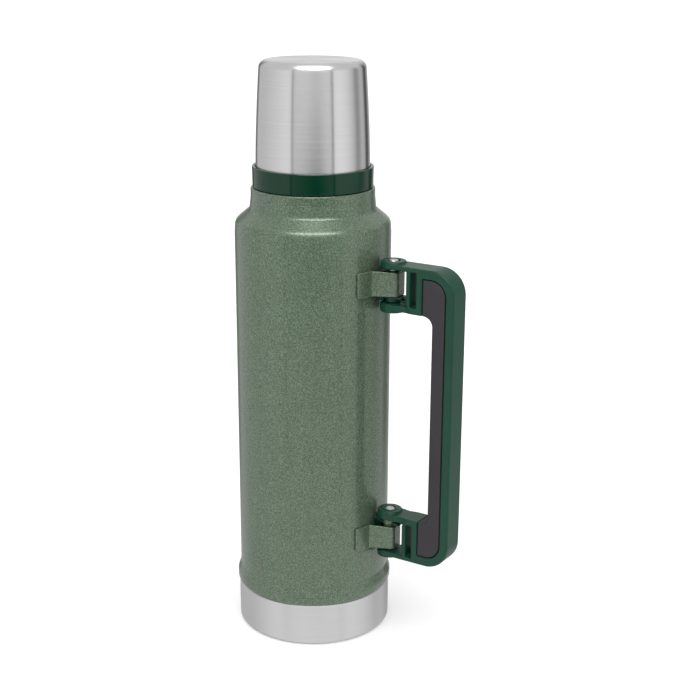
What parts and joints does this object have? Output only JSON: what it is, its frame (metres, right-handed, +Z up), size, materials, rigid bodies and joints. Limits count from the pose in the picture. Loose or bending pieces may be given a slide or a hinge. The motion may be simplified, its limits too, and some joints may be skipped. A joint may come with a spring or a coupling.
{
  "type": "vacuum flask",
  "caption": "Double-walled vacuum flask with a screw stopper, a screw-on drinking cup, a steel base cup and a handle that folds sideways on two brackets.",
  "frame": {"origin": "on the vessel's axis, in the plane that the flask stands on", "axes": "+Z up along the vessel's axis, +X towards the handle"},
  "size_m": [0.1548, 0.1012, 0.366],
  "materials": {
    "hammertone_paint": "green hammertone enamel, semi-gloss",
    "brushed_base": "brushed round the axis, satin",
    "brushed_cup": "finely brushed, satin",
    "inner_steel": "electropolished, matt",
    "pin_steel": "polished",
    "green_plastic": "moulded, semi-gloss",
    "handle_plastic": "moulded, satin",
    "black_plastic": "moulded, satin",
    "grip_rubber": "soft-touch, matt",
    "silicone": "matt",
    "foam": "closed-cell foam, matt"
  },
  "bodies": {
    "vessel": {"outer_shell": "hammertone_paint", "base_cup": "brushed_base", "vacuum_bottom": "inner_steel", "inner_vessel": "inner_steel", "getter": "inner_steel", "upper_bracket": "hammertone_paint", "upper_pivot_sleeve": "hammertone_paint", "upper_detent_block": "green_plastic", "lower_bracket": "hammertone_paint", "lower_pivot_sleeve": "hammertone_paint", "lower_detent_block": "green_plastic"},
    "handle": {"handle_frame": "handle_plastic", "grip_insert": "grip_rubber", "upper_hinge_pin": "pin_steel", "lower_hinge_pin": "pin_steel"},
    "stopper_seal": {"stopper_gasket": "silicone"},
    "stopper": {"stopper_body": "black_plastic", "stopper_cap": "green_plastic", "stopper_foam": "foam"},
    "cup_outer": {"cup_shell": "brushed_cup"},
    "cup": {"cup_liner": "green_plastic"}
  },
  "joints": [
    {"name": "handle_fold", "type": "hinge", "parent": "vessel", "child": "handle", "pos_m": [0.0583, 0, 0.1537], "axis": [0, 0, 1], "range_deg": [-95, 95]},
    {"name": "stopper_lift", "type": "slide", "parent": "vessel", "child": "stopper_seal", "axis": [0, 0, 1], "range_m": [0, 0.05]},
    {"name": "stopper_turn", "type": "hinge", "parent": "stopper_seal", "child": "stopper", "pos_m": [0, 0, 0.3], "axis": [0, 0, 1], "range_deg": [0, 1200]},
    {"name": "cup_lift", "type": "slide", "parent": "stopper", "child": "cup_outer", "axis": [0, 0, 1], "range_m": [0, 0.05]},
    {"name": "cup_turn", "type": "hinge", "parent": "cup_outer", "child": "cup", "pos_m": [0, 0, 0.33], "axis": [0, 0, 1], "range_deg": [0, 1200]}
  ],
  "couplings": [
    {"joint": "stopper_lift", "follows": "stopper_turn", "m_per_rad": 0.002387},
    {"joint": "cup_lift", "follows": "cup_turn", "m_per_rad": 0.002387}
  ]
}
